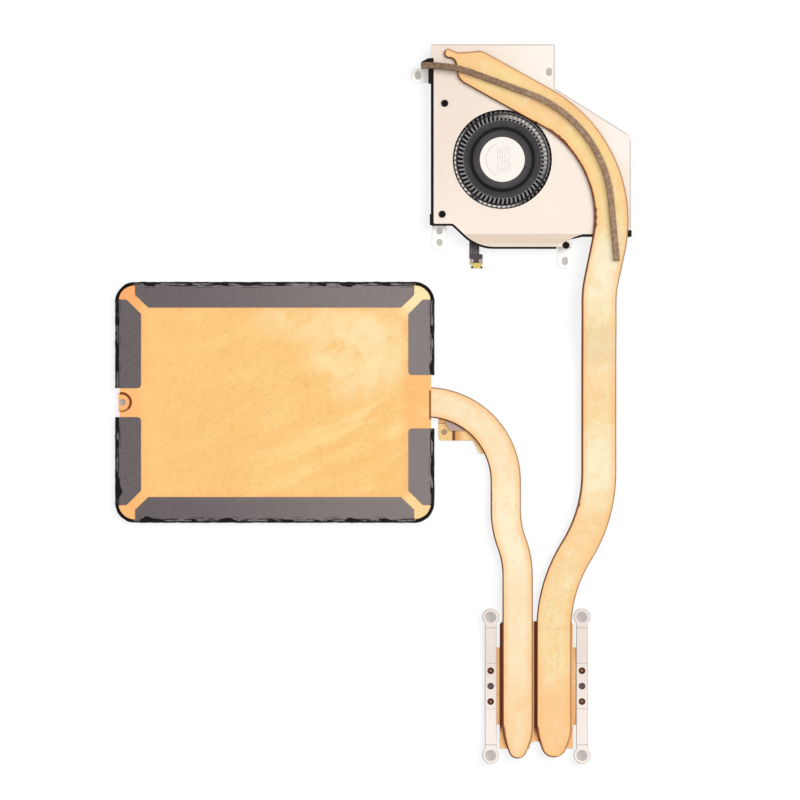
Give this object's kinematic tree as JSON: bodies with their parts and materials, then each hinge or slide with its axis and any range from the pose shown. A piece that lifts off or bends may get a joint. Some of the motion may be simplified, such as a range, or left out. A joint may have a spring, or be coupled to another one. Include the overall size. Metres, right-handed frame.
{
  "type": "laptop cooling fan heatsink",
  "caption": "Flat cooling module: copper spreader with film-wrapped edges and flattened heat pipes that meet on a spring-held processor plate and run over a thin blower fan.",
  "frame": {"origin": "centre of the processor contact face, which lies on the rest plane", "axes": "+Z away from the board, +Y from the processor towards the fan along the longest side, +X to the right when seen from above with the spreader at the left"},
  "size_m": [0.1679, 0.2338, 0.0066],
  "materials": {
    "spreader_copper": "satin rolled copper",
    "pipe_copper": "satin drawn copper",
    "plate_copper": "satin milled copper",
    "rivet_copper": "satin",
    "fin_copper": "satin",
    "edge_film": "smooth dark-grey film",
    "spring_steel": "pale matt steel",
    "housing_steel": "pale matt steel",
    "frame_plastic": "moulded black",
    "impeller_plastic": "moulded dark grey",
    "screw_black": "black oxide",
    "foam": "open brown foam",
    "pad_grey": "matt",
    "label_paper": "matt white",
    "rotor_steel": "satin",
    "magnet": "matt dark",
    "shaft_steel": "polished",
    "holder_brass": "satin",
    "sleeve_bronze": "satin",
    "washer_plastic": "matt",
    "stator_steel": "satin",
    "coil_wire": "enamelled",
    "flex_film": "smooth black",
    "stiffener": "matt black",
    "contact_gold": "gold plated"
  },
  "bodies": {
    "chassis": {"contact_pedestal": "plate_copper", "mounting_plate": "plate_copper", "cold_plate": "plate_copper", "spring_arm_left": "spring_steel", "spring_arm_right": "spring_steel", "arm_rivets": "rivet_copper", "heat_pipe_left": "pipe_copper", "heat_pipe_right": "pipe_copper", "spreader_plate": "spreader_copper", "edge_film_upper": "edge_film", "edge_film_lower": "edge_film", "pipe_bracket": "plate_copper", "bracket_pad": "pad_grey", "fan_base_plate": "housing_steel", "fan_frame": "frame_plastic", "fan_cover": "housing_steel", "cover_screws": "screw_black", "fin_stack": "fin_copper", "foam_strip": "foam", "bearing_holder": "holder_brass", "bearing_sleeve": "sleeve_bronze", "thrust_washer": "washer_plastic", "stator_core": "stator_steel", "stator_coils": "coil_wire", "flex_circuit": "flex_film", "flex_stiffener": "stiffener", "flex_contacts": "contact_gold"},
    "rotor": {"impeller": "impeller_plastic", "rotor_cup": "rotor_steel", "magnet_ring": "magnet", "shaft": "shaft_steel", "hub_label": "label_paper"}
  },
  "joints": [
    {"name": "impeller_spin", "type": "hinge", "parent": "chassis", "child": "rotor", "pos_m": [-0.0111, 0.1712, 0.002], "axis": [0, 0, 1], "continuous": true}
  ]
}
